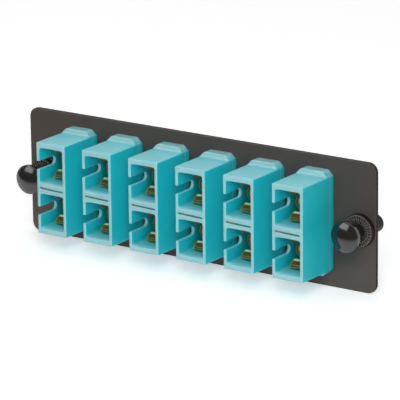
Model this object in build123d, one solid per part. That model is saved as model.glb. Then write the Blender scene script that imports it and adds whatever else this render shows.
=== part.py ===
from build123d import *
import os

# Fibre adapter panel: a sheet-metal plate that carries six duplex push-pull adapters and
# two quick-release plungers. Millimetres. X runs along the plate, Z is up, and the open
# mouths of the front ports and the plunger knobs face -Y. The origin is the centre of the
# plate's rear face, which seats against the enclosure.

# Plate
plate_width = 110.2
plate_height = 34.9
plate_thickness = 1.2
plate_corner_radius = 2.6

# Row of adapters, spread evenly between its two distances from the plate's ends
adapter_count = 6
row_end_distance = 17.6
window_clearance = 0.15
window_corner_radius = 0.4

# Adapter housing, moulded as two halves that meet in the middle of the flange
body_width = 9.3
body_height = 25.4
body_corner_radius = 0.3
front_projection = 14.6
flange_depth = 3.0
flange_rise = 1.35
flange_corner = 1.35

# Ports of a housing half
port_pitch = 12.7
port_width = 7.6
port_height = 9.1
mouth_height = 9.9
web_groove_width = 0.5
web_groove_depth = 1.5
key_slot_width = 2.3
key_slot_length = 7.3

# Latch insert, one behind each port mouth: a base plate, the holder of the ceramic
# sleeve and two sprung hooks
insert_plate_width = 7.9
insert_plate_height = 9.9
insert_plate_thickness = 1.2
insert_clearance = 0.05
holder_radius = 2.3
holder_lip = 0.35
holder_lip_radius = 1.4
arm_length = 9.1
arm_width = 3.6
arm_thickness = 0.7
arm_outer_height = 4.0
hook_reach = 1.3
hook_ramp = 1.2
hook_crest = 0.5
hook_back = 0.2
hook_crest_width = 2.7

# Split ceramic sleeve that lines up the two ferrules
sleeve_length = 10.1
sleeve_outer_radius = 1.6
sleeve_wall = 0.35
sleeve_slit = 0.5
sleeve_radial_clearance = 0.05
sleeve_end_clearance = 0.1

# Spring clip around the rear half, with a tongue above and below that bears on the plate
clip_thickness = 0.3
clip_front = 0.8
clip_length = 6.0
clip_inner_radius = 0.3
clip_leg_reach = 3.4
clip_clearance = 0.1
tongue_width = 3.8
tongue_window_width = 4.6
tongue_root = 1.0
tongue_rise = 1.0

# Plunger fasteners, one near each end of the plate
fastener_edge_distance = 4.7
fastener_drop = 0.7
collar_radius = 4.4
collar_thickness = 1.4
collar_edge_radius = 0.7
seat_radius = 2.8
seat_clearance = 0.1
lip_rise = 0.25
lip_length = 0.9
shank_radius = 2.6
shank_length = 2.3
barrel_radius = 2.4
barrel_length = 6.9
barrel_shoulder = 0.2
barrel_tip_chamfer = 0.4
barrel_slot_width = 0.55
pin_radius = 1.3
pin_clearance = 0.05
pin_end_gap = 0.4
pin_tip_length = 0.8
pin_tip_radius = 0.7
neck_base_radius = 2.1
neck_top_radius = 3.1
neck_length = 5.2
knob_radius = 4.1
knob_rim_length = 1.1
knob_bevel = 0.45
knob_dome_height = 1.0
knob_rear_round = 0.25

# Places that follow from the sizes above
plate_front = -plate_thickness
mouth_face = plate_front - front_projection
parting_face = plate_front - flange_depth / 2
half_length = parting_face - mouth_face
body_half_height = body_height / 2
port_centres = {"upper": port_pitch / 2, "lower": -port_pitch / 2}
adapter_pitch = (plate_width - 2 * row_end_distance) / (adapter_count - 1)
adapter_centres = [(i - (adapter_count - 1) / 2) * adapter_pitch for i in range(adapter_count)]
fastener_offset = plate_width / 2 - fastener_edge_distance
fastener_centres = {"left": -fastener_offset, "right": fastener_offset}
holder_bore_radius = sleeve_outer_radius + sleeve_radial_clearance
holder_length = sleeve_length / 2 + sleeve_end_clearance + holder_lip
collar_face = plate_front - collar_thickness
cut_margin = 1.0


def block(x_range, y_range, z_range):
    """Box that fills the three ranges."""
    (x0, x1), (y0, y1), (z0, z1) = x_range, y_range, z_range
    centre = Pos((x0 + x1) / 2, (y0 + y1) / 2, (z0 + z1) / 2)
    return centre * Box(x1 - x0, y1 - y0, z1 - z0)


def rod(radius, y0, y1):
    """Cylinder around the Y axis from y0 to y1."""
    return Pos(0, (y0 + y1) / 2, 0) * Rot(90, 0, 0) * Cylinder(radius, abs(y1 - y0))


def slab(outline, y0, y1):
    """Outline drawn in X and Z, stretched from y0 to y1."""
    return extrude(Plane((0, y1, 0), x_dir=(1, 0, 0), z_dir=(0, -1, 0)) * outline, y1 - y0)


def side_profile(points, width):
    """Closed outline of (y, z) points, stretched to both sides of X = 0."""
    face = make_face(Plane.YZ * Polyline(*points, close=True))
    return extrude(face, width / 2, both=True)


# Plate


def adapter_window():
    """Opening of the plate that one adapter body passes through."""
    width = body_width + 2 * window_clearance
    height = body_height + 2 * window_clearance
    outline = RectangleRounded(width, height, window_corner_radius)
    return slab(outline, plate_front - cut_margin, cut_margin)


def panel_plate():
    """Flat plate with rounded corners, the adapter windows and the fastener holes."""
    outline = RectangleRounded(plate_width, plate_height, plate_corner_radius)
    plate = slab(outline, plate_front, 0)
    for x in adapter_centres:
        plate -= Pos(x, 0, 0) * adapter_window()
    hole = rod(seat_radius + seat_clearance, plate_front - cut_margin, cut_margin)
    for x in fastener_centres.values():
        plate -= Pos(x, 0, -fastener_drop) * hole
    return plate


# Adapter housing. Each half is drawn with its parting face on y = 0 and its mouth on -Y.


def key_slot():
    """Slot with a round end, open at the mouth, through the wall on -X."""
    radius = key_slot_width / 2
    wall = (-body_width / 2 - cut_margin, -port_width / 2 + cut_margin)
    end = -half_length + key_slot_length - radius
    straight = block(wall, (-half_length - cut_margin, end), (-radius, radius))
    round_end = Rot(0, 90, 0) * Cylinder(radius, wall[1] - wall[0])
    return straight + Pos((wall[0] + wall[1]) / 2, end, 0) * round_end


def port():
    """Hollow of one port: shaft, scooped mouth, insert pocket and key slot."""
    half_width = port_width / 2
    half_height = port_height / 2
    shaft = block((-half_width, half_width), (-half_length - cut_margin, cut_margin),
                  (-half_height, half_height))
    scoop = Pos(0, -half_length, 0) * Cylinder(half_width, mouth_height)
    pocket_width = insert_plate_width / 2 + insert_clearance
    pocket_height = insert_plate_height / 2 + insert_clearance
    pocket = block((-pocket_width, pocket_width), (-insert_plate_thickness, cut_margin),
                   (-pocket_height, pocket_height))
    return shaft + scoop + pocket + key_slot()


def housing_half():
    """Half of the body with its half of the flange, its two ports and the web groove."""
    body = slab(RectangleRounded(body_width, body_height, body_corner_radius), -half_length, 0)
    flange_outline = Rectangle(body_width, body_height + 2 * flange_rise)
    flange_outline = chamfer(flange_outline.vertices(), flange_corner)
    half = body + slab(flange_outline, -flange_depth / 2, 0)
    for z in port_centres.values():
        half -= Pos(0, 0, z) * port()
    groove = block((-port_width / 2, port_width / 2),
                   (-half_length - cut_margin, -half_length + web_groove_depth),
                   (-web_groove_width / 2, web_groove_width / 2))
    return half - groove


# Spring clip, drawn in the panel's own frame around an adapter at X = 0


def clip_core(start, end):
    """Block that the clip's strip wraps around: the body less the strip's thickness."""
    width = body_width - 2 * clip_thickness
    height = body_height - 2 * clip_thickness
    return slab(RectangleRounded(width, height, clip_inner_radius), start, end)


def clip_band():
    """U of strip around the body, open on -X."""
    end = clip_front + clip_length
    outer_radius = clip_inner_radius + clip_thickness
    outer = slab(RectangleRounded(body_width, body_height, outer_radius), clip_front, end)
    open_side = block((-body_width, -clip_leg_reach), (clip_front - cut_margin, end + cut_margin),
                      (-body_height, body_height))
    return outer - clip_core(clip_front - cut_margin, end + cut_margin) - open_side


def clip_recess():
    """Groove of the rear half that the clip's strip lies in, flush with the body."""
    start = clip_front - clip_clearance
    end = clip_front + clip_length + clip_clearance
    leg_end = -clip_leg_reach - clip_clearance
    around = block((leg_end, body_width), (start, end), (-body_height, body_height))
    return around - clip_core(start - cut_margin, end + cut_margin)


def clip_tongue():
    """Upper sprung tongue: it rises from its root at the rear to the plate's rear face."""
    root = clip_front + clip_length - tongue_root
    outside = body_half_height
    inside = outside - clip_thickness
    points = [(root + tongue_root / 2, inside), (root, inside), (0, inside + tongue_rise),
              (0, outside + tongue_rise), (root, outside), (root + tongue_root / 2, outside)]
    return side_profile(points, tongue_width)


def spring_clip():
    """U-shaped strip with a window and a tongue in its upper and its lower leg."""
    window_end = clip_front + clip_length - tongue_root
    window = block((-tongue_window_width / 2, tongue_window_width / 2),
                   (clip_front - cut_margin, window_end), (-body_height, body_height))
    tongue = clip_tongue()
    return clip_band() - window + tongue + mirror(tongue, about=Plane.XY)


# Latch insert and sleeve, drawn with the parting face on y = 0


def latch_arm():
    """Upper arm: a flat spring whose hook has a ramp, a narrow crest and a steep back."""
    outside = arm_outer_height
    inside = outside - arm_thickness
    crest = inside - hook_reach
    points = [(0, inside), (0, outside), (-arm_length, outside), (-arm_length, inside),
              (-arm_length + hook_ramp, crest), (-arm_length + hook_ramp + hook_crest, crest),
              (-arm_length + hook_ramp + hook_crest + hook_back, inside)]
    half_base = arm_width / 2
    half_crest = hook_crest_width / 2
    taper = make_face(Polyline((-half_base, outside), (half_base, outside), (half_base, inside),
                               (half_crest, crest), (-half_crest, crest), (-half_base, inside),
                               close=True))
    return side_profile(points, arm_width) & slab(taper, -arm_length - cut_margin, cut_margin)


def latch_insert():
    """Base plate with the sleeve holder in its middle and an arm above and below."""
    half_width = insert_plate_width / 2
    half_height = insert_plate_height / 2
    base = block((-half_width, half_width), (-insert_plate_thickness, 0),
                 (-half_height, half_height))
    arm = latch_arm()
    insert = base + rod(holder_radius, -holder_length, 0) + arm + mirror(arm, about=Plane.XY)
    insert -= rod(holder_bore_radius, -holder_length + holder_lip, cut_margin)
    return insert - rod(holder_lip_radius, -holder_length - cut_margin, 0)


def split_sleeve():
    """Ceramic tube with one lengthwise slit."""
    half = sleeve_length / 2
    tube = rod(sleeve_outer_radius, -half, half)
    tube -= rod(sleeve_outer_radius - sleeve_wall, -half - cut_margin, half + cut_margin)
    slit = block((-sleeve_slit / 2, sleeve_slit / 2), (-half - cut_margin, half + cut_margin),
                 (0, sleeve_outer_radius + cut_margin))
    return tube - slit


# Plunger fastener, drawn around the Y axis in the panel's own frame


def barrel():
    """Seat in the plate's hole, snap lip, shank in the enclosure's hole and slimmer end."""
    shank_end = lip_length + shank_length
    outline = Polyline((0, plate_front), (seat_radius, plate_front), (seat_radius, 0),
                       (seat_radius + lip_rise, 0), (shank_radius, lip_length),
                       (shank_radius, shank_end), (barrel_radius, shank_end + barrel_shoulder),
                       (barrel_radius, barrel_length - barrel_tip_chamfer),
                       (barrel_radius - barrel_tip_chamfer, barrel_length),
                       (0, barrel_length), close=True)
    return revolve(make_face(outline), Axis.Y)


def grommet():
    """Collar in front of the plate, with the barrel, which is split beyond its shank."""
    collar = rod(collar_radius, collar_face, plate_front)
    front_rim = collar.edges().filter_by(GeomType.CIRCLE).sort_by(Axis.Y)[0]
    body = fillet(front_rim, collar_edge_radius) + barrel()
    body -= rod(pin_radius + pin_clearance, collar_face - cut_margin,
                barrel_length + cut_margin)
    slot = block((-barrel_slot_width / 2, barrel_slot_width / 2),
                 (lip_length + shank_length + barrel_shoulder, barrel_length + cut_margin),
                 (-2 * barrel_radius, 2 * barrel_radius))
    return body - slot


def plunger():
    """Knob with a bevelled rim and a low dome, a tapered neck and the pin."""
    knob_back = collar_face - neck_length
    knob_front = knob_back - knob_rim_length
    dome_edge = knob_front - knob_bevel
    dome_radius = knob_radius - knob_bevel
    dome_top = dome_edge - knob_dome_height
    pin_end = barrel_length - pin_end_gap
    sphere_radius = (dome_radius**2 + knob_dome_height**2) / (2 * knob_dome_height)
    dome = RadiusArc((dome_radius, dome_edge), (0, dome_top), sphere_radius)
    outline = Polyline((0, dome_top), (0, pin_end), (pin_tip_radius, pin_end),
                       (pin_radius, pin_end - pin_tip_length), (pin_radius, collar_face),
                       (neck_base_radius, collar_face), (neck_top_radius, knob_back),
                       (knob_radius - knob_rear_round, knob_back),
                       (knob_radius, knob_back - knob_rear_round), (knob_radius, knob_front),
                       (dome_radius, dome_edge))
    return revolve(make_face(outline + dome), Axis.Y)


# Nodes

front_half = Pos(0, parting_face, 0) * housing_half()
rear_half = Pos(0, parting_face, 0) * mirror(housing_half(), about=Plane.XZ) - clip_recess()
front_latch = latch_insert()
rear_latch = Rot(0, 0, 180) * front_latch
clip = spring_clip()
sleeve = split_sleeve()
barrel_part = grommet()
plunger_part = plunger()

nodes = {"panel_plate": panel_plate()}
for number, x in enumerate(adapter_centres, start=1):
    adapter = f"adapter_{number}"
    nodes[f"{adapter}_front_housing"] = Pos(x, 0, 0) * front_half
    nodes[f"{adapter}_rear_housing"] = Pos(x, 0, 0) * rear_half
    nodes[f"{adapter}_spring_clip"] = Pos(x, 0, 0) * clip
    for row, z in port_centres.items():
        seat = Pos(x, parting_face, z)
        nodes[f"{adapter}_{row}_front_latch"] = seat * front_latch
        nodes[f"{adapter}_{row}_rear_latch"] = seat * rear_latch
        nodes[f"{adapter}_{row}_sleeve"] = seat * sleeve
for side, x in fastener_centres.items():
    seat = Pos(x, 0, -fastener_drop)
    nodes[f"{side}_grommet"] = seat * barrel_part
    nodes[f"{side}_plunger"] = seat * plunger_part

os.makedirs("parts", exist_ok=True)
for name, solid in nodes.items():
    export_step(solid, f"parts/{name}.step")
    print(f"{name}: {solid.volume:.2f} mm3")
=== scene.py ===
"""Looks of the fibre adapter panel.

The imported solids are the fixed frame. Every visible piece is a surface worked out here with
numpy in the same frame, and stands for the solid of the same name: the stamped plate, six
duplex push-pull adapters with their latch inserts, sleeves and spring clips, and the two
plunger fasteners. Sizes in the classes are in millimetres; meshes are written in metres.
"""

from __future__ import annotations

import logging
import math
from collections.abc import Callable, Sequence
from dataclasses import dataclass, field
from enum import Enum

import bmesh
import bpy
import numpy as np
from mathutils import Matrix, Vector
from mathutils.geometry import tessellate_polygon

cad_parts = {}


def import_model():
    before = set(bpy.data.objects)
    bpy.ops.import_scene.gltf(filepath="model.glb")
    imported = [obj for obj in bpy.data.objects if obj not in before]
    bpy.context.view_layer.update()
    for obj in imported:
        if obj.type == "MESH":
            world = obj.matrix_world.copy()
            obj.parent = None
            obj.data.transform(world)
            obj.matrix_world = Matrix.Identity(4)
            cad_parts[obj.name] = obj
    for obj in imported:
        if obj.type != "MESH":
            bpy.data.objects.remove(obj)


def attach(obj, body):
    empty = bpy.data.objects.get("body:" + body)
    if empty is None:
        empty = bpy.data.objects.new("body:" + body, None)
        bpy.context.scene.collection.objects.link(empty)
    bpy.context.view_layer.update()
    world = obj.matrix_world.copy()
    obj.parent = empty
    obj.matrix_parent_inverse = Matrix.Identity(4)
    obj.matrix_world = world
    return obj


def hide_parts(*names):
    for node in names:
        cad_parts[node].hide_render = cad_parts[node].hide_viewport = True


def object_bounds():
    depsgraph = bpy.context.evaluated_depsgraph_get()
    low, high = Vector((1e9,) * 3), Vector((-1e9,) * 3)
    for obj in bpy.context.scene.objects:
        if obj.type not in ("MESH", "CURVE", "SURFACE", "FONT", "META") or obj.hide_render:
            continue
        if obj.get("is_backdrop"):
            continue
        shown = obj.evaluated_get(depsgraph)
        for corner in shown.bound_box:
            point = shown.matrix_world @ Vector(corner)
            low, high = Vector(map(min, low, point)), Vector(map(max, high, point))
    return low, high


LOG = logging.getLogger("adapter_panel")
MM = 0.001
SHARP_ANGLE = 32.0
WELD_PLACES = 5
FLAT_ANGLE = 0.4
FLOOR_GAP = 0.00002


class Body(Enum):
    """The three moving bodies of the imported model."""

    PANEL = "panel"
    LEFT_PLUNGER = "left_plunger_body"
    RIGHT_PLUNGER = "right_plunger_body"


class Slot(Enum):
    """The record's material slots."""

    PLATE = "plate_paint"
    HOUSING = "aqua_housing"
    LATCH = "amber_latch"
    SLEEVE = "sleeve_ceramic"
    CLIP = "clip_steel"
    GROMMET = "grommet_nylon"
    PLUNGER = "plunger_nylon"


class Sheet(Enum):
    """The flat directions that outlines are drawn in, as axis numbers: first, second, level."""

    XZ = (0, 2, 1)
    YZ = (1, 2, 0)
    XY = (0, 1, 2)


class Half(Enum):
    """The two halves of a housing."""

    FRONT = "front"
    REAR = "rear"


class Lights(Enum):
    """What a lamp lights: everything, only colour, or only gloss."""

    ALL = "all"
    COLOUR = "colour"
    GLOSS = "gloss"


# Outlines and profiles


def arc(
    centre: Sequence[float], radius: float, start: float, stop: float, steps: int
) -> np.ndarray:
    """Points of an arc: centre + radius (cos a, sin a), with a running evenly.

    Args:
        centre: The arc's centre in its plane.
        radius: The arc's radius.
        start: First angle in degrees.
        stop: Last angle in degrees.
        steps: Number of chords.

    Returns:
        An array of steps + 1 points with two columns.
    """
    angle = np.radians(np.linspace(start, stop, steps + 1))
    return np.asarray(centre) + radius * np.column_stack((np.cos(angle), np.sin(angle)))


def rectangle(x_range: Sequence[float], z_range: Sequence[float]) -> np.ndarray:
    """The four corners of a rectangle, counter-clockwise."""
    (x0, x1), (z0, z1) = x_range, z_range
    return np.array(((x0, z0), (x1, z0), (x1, z1), (x0, z1)), float)


def rounded_rectangle(width: float, height: float, radius: float, steps: int) -> np.ndarray:
    """Outline of a rectangle whose corners are quarter circles.

    Args:
        width: Full width.
        height: Full height.
        radius: Corner radius.
        steps: Chords in each corner.

    Returns:
        The closed outline's points, counter-clockwise from the lower right corner.
    """
    x, z = width / 2 - radius, height / 2 - radius
    corners = (((x, -z), -90), ((x, z), 0), ((-x, z), 90), ((-x, -z), 180))
    return np.vstack([arc(c, radius, a, a + 90, steps) for c, a in corners])


def rounded_corners(
    points: Sequence[Sequence[float]], radii: Sequence[float], steps: int
) -> np.ndarray:
    """A line of points whose inner corners are rounded.

    At a corner with radius r the tangent points lie r tan(turn / 2) before and after it, and
    the arc between them runs as a blend p0 (1-t)^2 + 2 p1 t (1-t) + p2 t^2.

    Args:
        points: The line's corners, in two columns.
        radii: One radius for each corner; the first and last are kept sharp.
        steps: Chords in each rounding.

    Returns:
        The line's points with the roundings in place.
    """
    line = np.asarray(points, float)
    share = np.linspace(0, 1, steps + 1)[:, None]
    parts = [line[:1]]
    for before, corner, after, radius in zip(line, line[1:], line[2:], radii[1:]):
        if radius <= 0:
            parts.append(corner[None])
            continue
        inward = (before - corner) / np.linalg.norm(before - corner)
        outward = (after - corner) / np.linalg.norm(after - corner)
        turn = math.pi - math.acos(float(np.clip(inward @ outward, -1, 1)))
        reach = radius * math.tan(turn / 2)
        first, last = corner + inward * reach, corner + outward * reach
        parts.append(first * (1 - share) ** 2 + 2 * corner * share * (1 - share) + last * share**2)
    parts.append(line[-1:])
    return np.vstack(parts)


def distinct(points: np.ndarray) -> np.ndarray:
    """The closed outline without points that repeat the one before."""
    gap = np.linalg.norm(points - np.roll(points, 1, axis=0), axis=1)
    return points[gap > 1e-6]


def lift(points: np.ndarray, sheet: Sheet, level: float) -> np.ndarray:
    """Flat points put into space.

    Args:
        points: Points with two columns.
        sheet: The plane that they are drawn in.
        level: Their place along the third axis.

    Returns:
        Points with three columns.
    """
    first, second, third = sheet.value
    solid = np.empty((len(points), 3))
    solid[:, first], solid[:, second], solid[:, third] = points[:, 0], points[:, 1], level
    return solid


class Skin:
    """Surface patches in millimetres that are welded into one mesh."""

    def __init__(self) -> None:
        """Starts with no patch."""
        self._points: list[np.ndarray] = []
        self._faces: list[np.ndarray] = []
        self._total = 0

    def _add(self, points: np.ndarray, faces: np.ndarray) -> None:
        """Keeps one patch.

        Args:
            points: Its points with three columns.
            faces: Its faces as four indices each; a triangle's last index is doubled.
        """
        self._points.append(points)
        self._faces.append(faces + self._total)
        self._total += len(points)

    def grid(self, points: np.ndarray, keep: np.ndarray | None = None) -> None:
        """A surface of two parameters: neighbours points[i, j] are joined by four-sided faces.

        Args:
            points: Array of rows x columns x 3.
            keep: Which of the (rows - 1) x (columns - 1) faces are there; all if left out.
        """
        rows, columns = points.shape[:2]
        index = np.arange(rows * columns).reshape(rows, columns)
        faces = np.stack((index[:-1, :-1], index[1:, :-1], index[1:, 1:], index[:-1, 1:]), axis=-1)
        faces = faces.reshape(-1, 4) if keep is None else faces[keep]
        self._add(points.reshape(-1, 3), faces)

    def wall(self, path: np.ndarray, shift: Sequence[float], closed: bool = False) -> None:
        """A path carried straight along a shift.

        Args:
            path: The path's points with three columns.
            shift: How far it is carried, in three numbers.
            closed: Whether the last point joins the first.
        """
        line = np.vstack((path, path[:1])) if closed else path
        self.grid(np.stack((line, line + np.asarray(shift, float))))

    def fill(self, outline: np.ndarray, holes: Sequence[np.ndarray] = ()) -> None:
        """A flat face inside an outline, less its holes, cut into triangles.

        Args:
            outline: The closed outline's points with three columns.
            holes: Closed outlines inside it.
        """
        loops = [distinct(outline), *(distinct(hole) for hole in holes)]
        triangles = tessellate_polygon([[Vector(point) for point in loop] for loop in loops])
        faces = np.array(triangles, int)
        self._add(np.vstack(loops), np.column_stack((faces, faces[:, 2])))

    def mesh(self, name: str, mirror_y: bool = False, outward: bool = True) -> bpy.types.Mesh:
        """Welds the patches, merges flat neighbours and turns the faces outward.

        Args:
            name: The mesh's name.
            mirror_y: Whether the form is mirrored front to back.
            outward: Whether the skin is closed, so that its faces can be turned outward.

        Returns:
            The mesh, in metres.
        """
        points = np.vstack(self._points) * (1, -1 if mirror_y else 1, 1)
        keys, place = np.unique(np.round(points, WELD_PLACES), axis=0, return_inverse=True)
        faces = place.reshape(-1)[np.vstack(self._faces)]
        doubled = faces == np.roll(faces, -1, axis=1)
        quads = faces[doubled.sum(1) == 0]
        single = doubled.sum(1) == 1
        triangles = faces[single][~doubled[single]].reshape(-1, 3)
        made = bpy.data.meshes.new(name)
        made.from_pydata((keys * MM).tolist(), [], quads.tolist() + triangles.tolist())
        work = bmesh.new()
        work.from_mesh(made)
        bmesh.ops.dissolve_limit(
            work, angle_limit=math.radians(FLAT_ANGLE), verts=work.verts, edges=work.edges
        )
        if outward:
            bmesh.ops.recalc_face_normals(work, faces=work.faces)
        work.to_mesh(made)
        work.free()
        made.shade_smooth()
        return made


def turned(profile: np.ndarray, steps: int) -> np.ndarray:
    """A profile turned round the Y axis: (r, y) becomes (r cos a, y, r sin a).

    Args:
        profile: Points (radius, y).
        steps: Number of chords round the axis.

    Returns:
        A grid of profile points x (steps + 1) angles x 3.
    """
    angle = np.linspace(0, 2 * math.pi, steps + 1)
    angle[-1] = 0
    radius, along = profile[:, :1], profile[:, 1:]
    return np.stack(
        (radius * np.cos(angle), along + 0 * angle, radius * np.sin(angle)), axis=-1
    )


def placed(
    form: bpy.types.Mesh, node: str, move: Sequence[float], turn: float = 0.0
) -> bpy.types.Object:
    """A copy of a form at its place, its place being in its mesh.

    Args:
        form: The form, drawn round its own centre.
        node: The CAD node that the piece stands for.
        move: Its place in millimetres.
        turn: Turn round Z in degrees, made before the move.

    Returns:
        The new piece.
    """
    mesh = form.copy()
    mesh.name = node + "_surface"
    mesh.transform(
        Matrix.Translation(Vector(move) * MM) @ Matrix.Rotation(math.radians(turn), 4, "Z")
    )
    piece = bpy.data.objects.new(node + "_dressed", mesh)
    bpy.context.scene.collection.objects.link(piece)
    return piece


def soften(
    piece: bpy.types.Object, width: float, segments: int = 2, angle: float = SHARP_ANGLE
) -> None:
    """Rounds a piece's edges.

    Args:
        piece: The piece.
        width: Width of the rounding in millimetres.
        segments: Faces across the rounding.
        angle: Edges that turn by more than this, in degrees, are rounded. At 0 each edge is
            rounded by its own share of the width instead.
    """
    bevel = piece.modifiers.new("rounded_edges", "BEVEL")
    bevel.width = width * MM
    bevel.segments = segments
    bevel.limit_method = "ANGLE" if angle else "WEIGHT"
    bevel.angle_limit = math.radians(angle)
    bevel.use_clamp_overlap = False
    bevel.harden_normals = True
    bevel.miter_outer = "MITER_ARC"


def share_edges(mesh: bpy.types.Mesh, share_at: Callable[[np.ndarray], np.ndarray]) -> None:
    """Gives each sharp edge its share of the rounding, by where its middle lies.

    Args:
        mesh: The mesh, in metres.
        share_at: Gives the shares for edge middles, an array of points in millimetres.
    """
    mesh.set_sharp_from_angle(angle=math.radians(SHARP_ANGLE))
    sharp = np.zeros(len(mesh.edges), bool)
    mesh.attributes["sharp_edge"].data.foreach_get("value", sharp)
    ends = np.empty(2 * len(mesh.edges), np.int32)
    mesh.edges.foreach_get("vertices", ends)
    places = np.empty(3 * len(mesh.vertices), np.float32)
    mesh.vertices.foreach_get("co", places)
    middles = places.reshape(-1, 3)[ends.reshape(-1, 2)].mean(axis=1) / MM
    shares = mesh.attributes.new("bevel_weight_edge", "FLOAT", "EDGE")
    shares.data.foreach_set("value", np.where(sharp, share_at(middles), 0.0).astype(np.float32))


def settle(
    piece: bpy.types.Object, node: str, body: Body, finish: bpy.types.Material
) -> None:
    """Dresses a piece, lets it ride on its body and stand for its node.

    Args:
        piece: The piece.
        node: The CAD node that it stands for.
        body: The body that it moves with.
        finish: Its material.
    """
    piece.data.materials.append(finish)
    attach(piece, body.value)
    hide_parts(node)
    LOG.info("%s stands for %s on %s", piece.name, node, body.value)


# Finishes


class Graph:
    """Adds nodes to one material's or group's tree and joins them."""

    def __init__(self, tree: bpy.types.NodeTree) -> None:
        """Keeps the tree, emptied."""
        self.tree = tree
        self.tree.nodes.clear()

    def node(
        self, kind: str, inputs: dict[int | str, object] | None = None, **settings: object
    ) -> bpy.types.Node:
        """One node with its settings and inputs.

        Args:
            kind: The node's type name.
            inputs: Values or sockets for its inputs, by name or number.
            settings: Its own properties.

        Returns:
            The new node.
        """
        made = self.tree.nodes.new(kind)
        for name, value in settings.items():
            setattr(made, name, value)
        for name, value in (inputs or {}).items():
            if isinstance(value, bpy.types.NodeSocket):
                self.tree.links.new(value, made.inputs[name])
            else:
                made.inputs[name].default_value = value
        return made

    def math(self, operation: str, *values: object, clamp: bool = False) -> bpy.types.NodeSocket:
        """One sum on numbers or sockets.

        Args:
            operation: The sum's name.
            values: Its numbers or sockets, in order.
            clamp: Whether the result is held between 0 and 1.

        Returns:
            The socket that holds the result.
        """
        made = self.node("ShaderNodeMath", dict(enumerate(values)), operation=operation)
        made.use_clamp = clamp
        return made.outputs[0]

    def blend(self, share: object, first: object, second: object) -> bpy.types.NodeSocket:
        """Two colours mixed.

        Args:
            share: The second colour's share, from 0 to 1.
            first: The first colour or its socket.
            second: The second colour or its socket.

        Returns:
            The mixed colour's socket.
        """
        colours = {0: share, 6: first, 7: second}
        return self.node("ShaderNodeMix", colours, data_type="RGBA").outputs[2]

    def noise(
        self, scale: object, detail: float = 3.0, stretch: Sequence[float] = (1, 1, 1)
    ) -> bpy.types.NodeSocket:
        """Noise in object coordinates.

        Args:
            scale: Waves per metre, as a number or socket.
            detail: Number of finer layers.
            stretch: Factors on the scale along the three axes.

        Returns:
            The socket of a value from 0 to 1.
        """
        place = self.node("ShaderNodeTexCoord").outputs["Object"]
        mapped = self.node("ShaderNodeMapping", {"Vector": place, "Scale": tuple(stretch)})
        made = self.node(
            "ShaderNodeTexNoise", {"Vector": mapped.outputs[0], "Scale": scale, "Detail": detail}
        )
        return made.outputs["Fac"]


def shader_group(
    name: str, inputs: dict[str, float], outputs: Sequence[str]
) -> tuple[Graph, bpy.types.NodeTree]:
    """An empty shader node group with number sockets.

    Args:
        name: The group's name.
        inputs: Its input sockets and their starting values.
        outputs: Its output sockets.

    Returns:
        The group's graph and its tree.
    """
    tree = bpy.data.node_groups.new(name, "ShaderNodeTree")
    for label, value in inputs.items():
        socket = tree.interface.new_socket(label, in_out="INPUT", socket_type="NodeSocketFloat")
        socket.default_value = value
    for label in outputs:
        tree.interface.new_socket(label, in_out="OUTPUT", socket_type="NodeSocketFloat")
    return Graph(tree), tree


def make_mould_grain() -> bpy.types.NodeTree:
    """Fine spark-eroded grain and the slow waviness of a moulded wall.

    Height is 0.7 fine noise + 0.3 noise at a ninth of its scale. Tone is slow noise alone.

    Returns:
        The group's tree.
    """
    graph, tree = shader_group("mould_grain", {"Scale": 4000.0}, ("Height", "Tone"))
    scale = graph.node("NodeGroupInput").outputs["Scale"]
    fine = graph.noise(scale, 4.0)
    wave = graph.noise(graph.math("DIVIDE", scale, 9.0), 2.0)
    slow = graph.noise(graph.math("DIVIDE", scale, 36.0), 2.0)
    height = graph.math("ADD", graph.math("MULTIPLY", fine, 0.7), graph.math("MULTIPLY", wave, 0.3))
    graph.node("NodeGroupOutput", {"Height": height, "Tone": slow})
    return tree


def make_edge_highlight() -> bpy.types.NodeTree:
    """Share of the painted highlight on raised edges: how far a rounded normal leans from the true
    one.

    Mask is (1 - rounded . normal) x Gain x open, broken up by noise and held between 0 and 1.
    Open is 1 where nothing is near and falls to 0 in inner corners, which get no painted highlight.

    Returns:
        The group's tree.
    """
    graph, tree = shader_group("edge_highlight", {"Radius": 0.0003, "Gain": 6.0}, ("Mask",))
    given = graph.node("NodeGroupInput").outputs
    rounded = graph.node("ShaderNodeBevel", {"Radius": given["Radius"]}, samples=6)
    normal = graph.node("ShaderNodeNewGeometry").outputs["Normal"]
    lean = graph.node(
        "ShaderNodeVectorMath", {0: rounded.outputs[0], 1: normal}, operation="DOT_PRODUCT"
    )
    away = graph.math("SUBTRACT", 1.0, lean.outputs["Value"])
    reach = graph.math("MULTIPLY", given["Radius"], 2.0)
    near = graph.node("ShaderNodeAmbientOcclusion", {"Distance": reach}, samples=8)
    open_share = graph.node("ShaderNodeMapRange", {0: near.outputs["AO"], 1: 0.8, 2: 0.96})
    away = graph.math("MULTIPLY", away, open_share.outputs[0])
    broken = graph.math("ADD", graph.math("MULTIPLY", graph.noise(2600.0, 4.0), 1.2), 0.3)
    gained = graph.math("MULTIPLY", away, given["Gain"])
    mask = graph.math("MULTIPLY", gained, broken, clamp=True)
    graph.node("NodeGroupOutput", {"Mask": mask})
    return tree


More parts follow.
